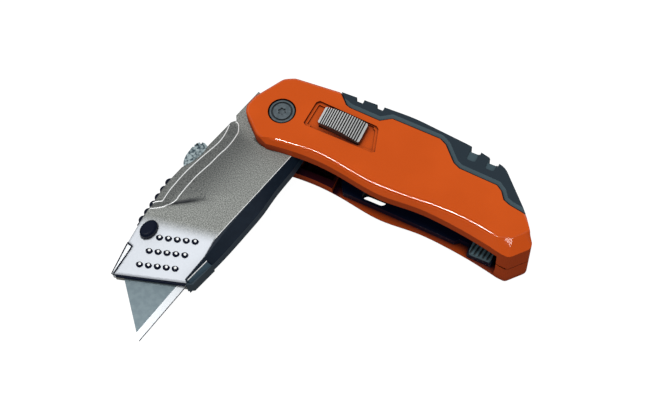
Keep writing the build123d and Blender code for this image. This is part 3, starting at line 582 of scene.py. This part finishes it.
def near_cover():
    """The near cover with its relief, in place of the plain CAD one."""
    plan, faces = grid_in(COVER, (BUSHING_BORE, BUTTON_WELL), PITCH)
    x, y = plan.T
    top = cover_top(x, y)
    bottom = cover_bottom(x, y, top)
    count = len(plan)
    verts = [tuple(HEAD @ Vector(p)) for p in list(zip(x, y, top)) + list(zip(x, y, bottom))]
    edges = {(face[i], face[(i + 1) % 3]) for face in faces for i in range(3)}
    walls = [(b, a, a + count, b + count) for a, b in sorted(edges) if (b, a) not in edges]
    base = [(a + count, c + count, b + count) for a, b, c in faces]
    mesh = bpy.data.meshes.new("near_cover_skin")
    mesh.from_pydata(verts, [], [tuple(f) for f in faces] + walls + base)
    # the painted highlight and the painted shade, held on the top points only
    for name, values in zip(("facet_highlight", "shade"), cover_relief(x, y)[1:]):
        both = np.concatenate([values, np.zeros(count)])
        mesh.attributes.new(name, "FLOAT", "POINT").data.foreach_set("value", both)
    mesh.materials.append(FINISHES["toned_silver"])
    mesh.materials.append(FINISHES["dark_body"])
    for polygon in mesh.polygons:
        polygon.use_smooth = polygon.index < len(faces)
        px, py = plan[polygon.vertices[0] % count]
        if not polygon.use_smooth and (py < DARK_BELLY or px < DARK_NOSE):
            polygon.material_index = 1
    obj = bpy.data.objects.new("near_cover_skin", mesh)
    bpy.context.scene.collection.objects.link(obj)
    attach(obj, "head")
    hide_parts("near_cover")


# ---------------------------------------------------------------- studs and ridge lines

STUD_ROWS = [(-55.9, 2.5), (-61.1, 2.2), (-66.2, 1.7)]
STUD_STEP = (1.52, -2.45)
STUD_SIDES = 20
STUD_RINGS = [(1.25, -0.3, 0), (1.2, 0.02, 0), (0.44, 0.17, 0), (0.36, 0.2, 1)]  # radius, rise and material


def cover_height(x, y):
    """Height of the cover's top over one point."""
    height = cover_relief(np.array([float(x)]), np.array([float(y)]))[0]
    return HEAD_TOP + float(height[0])


def stud(build, x, y):
    """One stud, of rings from its foot to its top."""
    foot = cover_height(x, y)
    rings = []
    for radius, rise, _ in STUD_RINGS:
        ring = []
        for k in range(STUD_SIDES):
            turn = 2 * math.pi * k / STUD_SIDES
            place = Vector((x + radius * math.cos(turn), y + radius * math.sin(turn), foot + rise))
            ring.append(build.verts.new(HEAD @ place))
        rings.append(ring)
    for low, high, (_, _, material) in zip(rings, rings[1:], STUD_RINGS[1:]):
        for k in range(STUD_SIDES):
            n = (k + 1) % STUD_SIDES
            face = build.faces.new((low[k], low[n], high[n], high[k]))
            face.material_index = material
            face.smooth = True
    build.faces.new(rings[-1]).material_index = 1
    build.faces.new(list(reversed(rings[0])))


def studs():
    """Fifteen truncated cones: their dark flanks are painted shade, and their near-white tops are bare
    metal with a painted highlight.
    """
    build = bmesh.new()
    for row_x, row_y in STUD_ROWS:
        for i in range(5):
            stud(build, row_x + i * STUD_STEP[0], row_y + i * STUD_STEP[1])
    mesh = bpy.data.meshes.new("nose_studs")
    build.to_mesh(mesh)
    build.free()
    mesh.materials.append(FINISHES["black_plastic"])
    mesh.materials.append(FINISHES["bright_edge"])
    obj = bpy.data.objects.new("nose_studs", mesh)
    bpy.context.scene.collection.objects.link(obj)
    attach(obj, "head")


def tube(name, points, radius, material, body):
    """A thin bead through points given in the head's axes."""
    curve = bpy.data.curves.new(name, "CURVE")
    curve.dimensions = "3D"
    curve.bevel_depth = radius * MM
    curve.bevel_resolution = 2
    curve.use_fill_caps = True
    spline = curve.splines.new("POLY")
    spline.points.add(len(points) - 1)
    for point, place in zip(spline.points, points):
        point.co = (*(HEAD @ Vector(place)), 1)
    curve.materials.append(material)
    obj = bpy.data.objects.new(name, curve)
    bpy.context.scene.collection.objects.link(obj)
    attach(obj, body)


def ridges():
    """The ridges that frame the strip along the spine, as thin near-white beads that are painted highlights
    along their edges.
    """
    lines = {"upper_start": UPPER_START, "upper_ridge": UPPER_RIDGE, "lower_ridge": LOWER_RIDGE}
    for name, line in lines.items():
        points = [(px, py, cover_height(px, py) - 0.02) for px, py in smooth(line)]
        tube(name, points, 0.19, FINISHES["bright_edge"], "head")


def belly_edge_highlight():
    """A painted highlight along the cover's belly edge, as a thin near-white bead."""
    belly = [(-45.3, -11.7), (-39.3, -11.5), (-24.0, -11.2), (-9.1, -10.8), (-6.0, -10.7)]
    points = [(px, py, HEAD_TOP - 0.12) for px, py in belly]
    tube("belly_edge", points, 0.17, FINISHES["bright_edge"], "head")


def shoe_cheek():
    """The front shoe's cheek on the slope along the bar, painted lighter where the slope faces up to the
    light, with a painted highlight along its upper edge.
    """
    outline = [(-60.9, -14.25, 16.1), (-60.6, -14.95, 14.2), (-51.8, -15.65, 14.0), (-52.3, -14.35, 16.0)]
    out = Vector((0.0, -0.889, 0.459))  # away from the slope
    verts = [Vector(place) + out * depth for depth in (-0.2, 0.15) for place in outline]
    faces = [(3, 2, 1, 0), (4, 5, 6, 7)] + [((i + 1) % 4, (i + 1) % 4 + 4, i + 4, i) for i in range(4)]
    mesh = bpy.data.meshes.new("shoe_cheek")
    mesh.from_pydata([tuple(HEAD @ v) for v in verts], [], faces)
    mesh.materials.append(FINISHES["cheek_plastic"])
    obj = bpy.data.objects.new("shoe_cheek", mesh)
    bpy.context.scene.collection.objects.link(obj)
    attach(obj, "head")
    # painted highlight: a near-white bead along the cheek's upper edge
    edge = [tuple(verts[4]), tuple(verts[7])]
    tube("shoe_edge", edge, 0.16, FINISHES["bright_edge"], "head")
    seam = [tuple(verts[6]), tuple(verts[7])]
    tube("shoe_seam", seam, 0.2, FINISHES["black_plastic"], "head")


def nose_lines():
    """The dark seams round the nose guide, and a dark line along the nose under its facet."""
    guide = [(-63.9, 9.5), (-73.9, 6.9), (-73.7, 6.1)]
    points = [(px, py, cover_height(px, py) - 0.75) for px, py in guide]
    tube("guide_edge", points, 0.26, FINISHES["black_plastic"], "head")
    seam = [(-63.6, 9.5), (-63.6, 7.5), (-73.5, 6.2)]
    points = [(px, py, cover_height(px, py) - 0.3) for px, py in seam]
    tube("guide_seam", points, 0.3, FINISHES["black_plastic"], "head")
    nose = [(-73.5, 5.4), (-61.9, -13.6)]
    points = [(px, py, cover_height(px, py) - 1.15) for px, py in nose]
    tube("nose_dark_line", points, 0.5, FINISHES["black_plastic"], "head")


def keen_edge():
    """The honed line along the blade's edge, dark against a pale ground."""
    tip = Vector(BLADE_TIP)
    run = Vector((math.cos(BLADE_TILT), math.sin(BLADE_TILT))) * BLADE_LONG
    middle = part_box("blade")[0].z / MM + 0.3
    points = [(*(tip + run * f), middle) for f in (0.004, 0.996)]
    tube("keen_edge", points, 0.15, FINISHES["dark_body"], "blade_unit")


near_cover()
studs()
ridges()
belly_edge_highlight()
shoe_cheek()
nose_lines()
keen_edge()

# ---------------------------------------------------------------- floor, light and camera

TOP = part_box("near_shell")[1].z
AZIMUTH = math.radians(33)  # of the camera about Z
ELEVATION = math.radians(64.21)
ROLL = math.radians(-7.73)
DISTANCE = 0.42  # from the camera to the pivot's top
AIM = (-0.0312, 0.0762)  # where the pivot stands in the view, as tangents right of and above its middle
LENS = 72.6


def white_when_seen(tree, otherwise):
    """White where it is the background, and otherwise the given colour as light on the knife."""
    path = tree.nodes.new("ShaderNodeLightPath")
    blend = tree.nodes.new("ShaderNodeMix")
    blend.data_type = "RGBA"
    tree.links.new(path.outputs["Is Camera Ray"], blend.inputs["Factor"])
    tree.links.new(otherwise, blend.inputs["A"])
    blend.inputs["B"].default_value = (1, 1, 1, 1)
    return blend.outputs["Result"]


def white_world():
    """Soft light from all round, strongest half way up, with a dim ceiling."""
    world = bpy.data.worlds.new("studio")
    world.use_nodes = True
    tree = world.node_tree
    place = tree.nodes.new("ShaderNodeTexCoord")
    split = tree.nodes.new("ShaderNodeSeparateXYZ")
    tree.links.new(place.outputs["Generated"], split.inputs["Vector"])
    heights = [(0.0, 0.10), (0.3, 0.75), (0.7, 0.85), (0.85, 0.25), (1.0, 0.2)]
    glow = ramp(tree, split.outputs["Z"], [(p, (v, v, 1.03 * v, 1)) for p, v in heights])
    shown = white_when_seen(tree, glow)
    tree.links.new(shown, tree.nodes["Background"].inputs["Color"])
    bpy.context.scene.world = world


def strip_light():
    """A long narrow light overhead, which draws the line along the near shell's crest."""
    data = bpy.data.lights.new("strip", "AREA")
    data.shape = "RECTANGLE"
    data.size = 0.65
    data.size_y = 0.05
    data.energy = 5.2
    light = bpy.data.objects.new("strip", data)
    bpy.context.scene.collection.objects.link(light)
    light.location = Matrix.Rotation(AZIMUTH, 3, "Z") @ Vector((-0.12, -0.07, 1.0))
    light.rotation_euler = (Vector((0, 0, 0.02)) - light.location).to_track_quat("-Z", "Y").to_euler()


def pale_floor():
    """A floor that is white to look at and grey as a source of light."""
    half = 3.0
    mesh = bpy.data.meshes.new("floor")
    corners = [(-half, -half, 0), (half, -half, 0), (half, half, 0), (-half, half, 0)]
    mesh.from_pydata(corners, [], [(0, 1, 2, 3)])
    floor = bpy.data.objects.new("floor", mesh)
    bpy.context.scene.collection.objects.link(floor)
    material = bpy.data.materials.new("pale_floor")
    material.use_nodes = True
    tree = material.node_tree
    shader = tree.nodes["Principled BSDF"]
    shader.inputs["Base Color"].default_value = (0.12, 0.12, 0.12, 1)
    shader.inputs["Roughness"].default_value = 0.9
    shader.inputs["Specular IOR Level"].default_value = 0.0
    dim = tree.nodes.new("ShaderNodeRGB")
    dim.outputs[0].default_value = (0.14, 0.14, 0.14, 1)
    tree.links.new(white_when_seen(tree, dim.outputs[0]), shader.inputs["Emission Color"])
    shader.inputs["Emission Strength"].default_value = 0.97
    floor.data.materials.append(material)


def camera():
    """The camera, aimed so that the pivot's top stands where AIM says."""
    turn = Matrix.Rotation(AZIMUTH, 3, "Z")
    forward = Vector((0, math.cos(ELEVATION), -math.sin(ELEVATION)))
    level = Vector((1, 0, 0))
    upright = level.cross(forward)
    right = level * math.cos(ROLL) + upright * math.sin(ROLL)
    up = upright * math.cos(ROLL) - level * math.sin(ROLL)
    sight = (forward + right * AIM[0] + up * AIM[1]).normalized()
    place = Vector((0, 0, TOP)) + turn @ (-sight * DISTANCE)
    axes = [turn @ v for v in (right, up, -forward)]
    pose = Matrix([[axes[c][r] for c in range(3)] + [place[r]] for r in range(3)] + [[0, 0, 0, 1]])
    data = bpy.data.cameras.new("camera")
    data.lens = LENS
    data.sensor_width = 36
    data.clip_start = 0.01
    view = bpy.data.objects.new("camera", data)
    bpy.context.scene.collection.objects.link(view)
    view.matrix_world = pose
    bpy.context.scene.camera = view


white_world()
pale_floor()
camera()
strip_light()

scene = bpy.context.scene
scene.view_settings.view_transform = "Standard"
scene.view_settings.look = "None"
